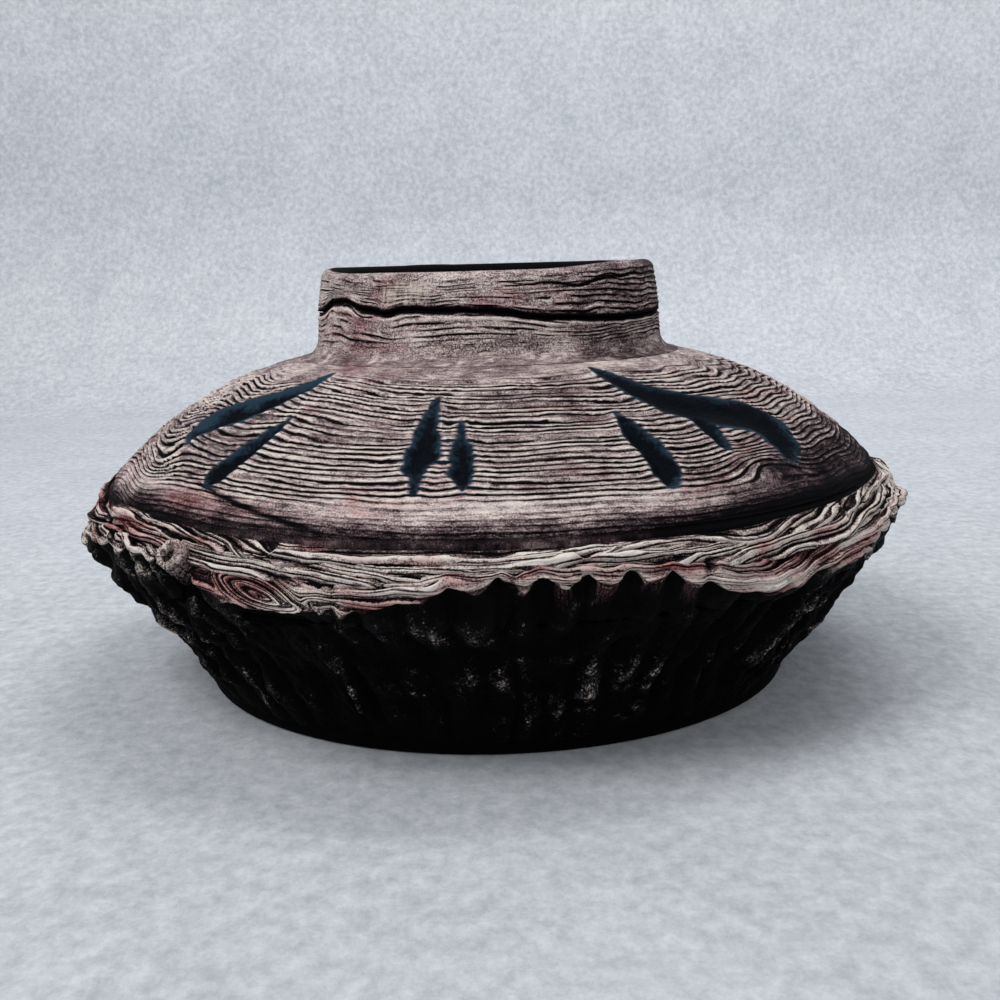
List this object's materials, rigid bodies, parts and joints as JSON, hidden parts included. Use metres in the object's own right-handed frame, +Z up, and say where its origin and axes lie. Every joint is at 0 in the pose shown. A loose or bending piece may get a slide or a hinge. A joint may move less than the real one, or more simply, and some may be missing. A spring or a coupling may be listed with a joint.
{
  "type": "pottery vase",
  "caption": "Squat hand-built pottery vase with a pleated bowl, a gouged bark-like domed shoulder, a ruffled belt of torn clay strips at the seam and a short two-band neck.",
  "frame": {"origin": "centre of the flat underside of the foot", "axes": "+Z up along the vase's axis, -Y the side seen in the picture, +X to its right"},
  "size_m": [0.3316, 0.3318, 0.165],
  "materials": {
    "bark_clay": "matt stoneware, dark stain in the recesses and dry-brushed pinkish grey on the crests",
    "belt_clay": "matt stoneware, pale torn crests over dark and dull red recesses",
    "dark_clay": "near-black matt slip, grey where it is rubbed on the crests",
    "inner_clay": "dark unglazed stoneware"
  },
  "bodies": {
    "root": {"foot_slab": "dark_clay", "pleated_bowl": "dark_clay", "seam_coil": "inner_clay", "shoulder_dome": "bark_clay", "neck_base_band": "bark_clay", "neck_rim_band": "bark_clay", "curl_roll": "belt_clay", "lip_strip_1": "belt_clay", "lip_strip_2": "belt_clay", "lip_strip_3": "belt_clay", "lip_strip_4": "belt_clay", "lip_strip_5": "belt_clay", "lip_strip_6": "belt_clay", "lip_strip_7": "belt_clay", "lip_strip_8": "belt_clay", "lip_strip_9": "belt_clay", "middle_strip_1": "belt_clay", "middle_strip_2": "belt_clay", "middle_strip_3": "belt_clay", "middle_strip_4": "belt_clay", "middle_strip_5": "belt_clay", "upper_strip_1": "belt_clay", "upper_strip_2": "belt_clay", "upper_strip_3": "belt_clay", "upper_strip_4": "belt_clay"}
  },
  "joints": []
}
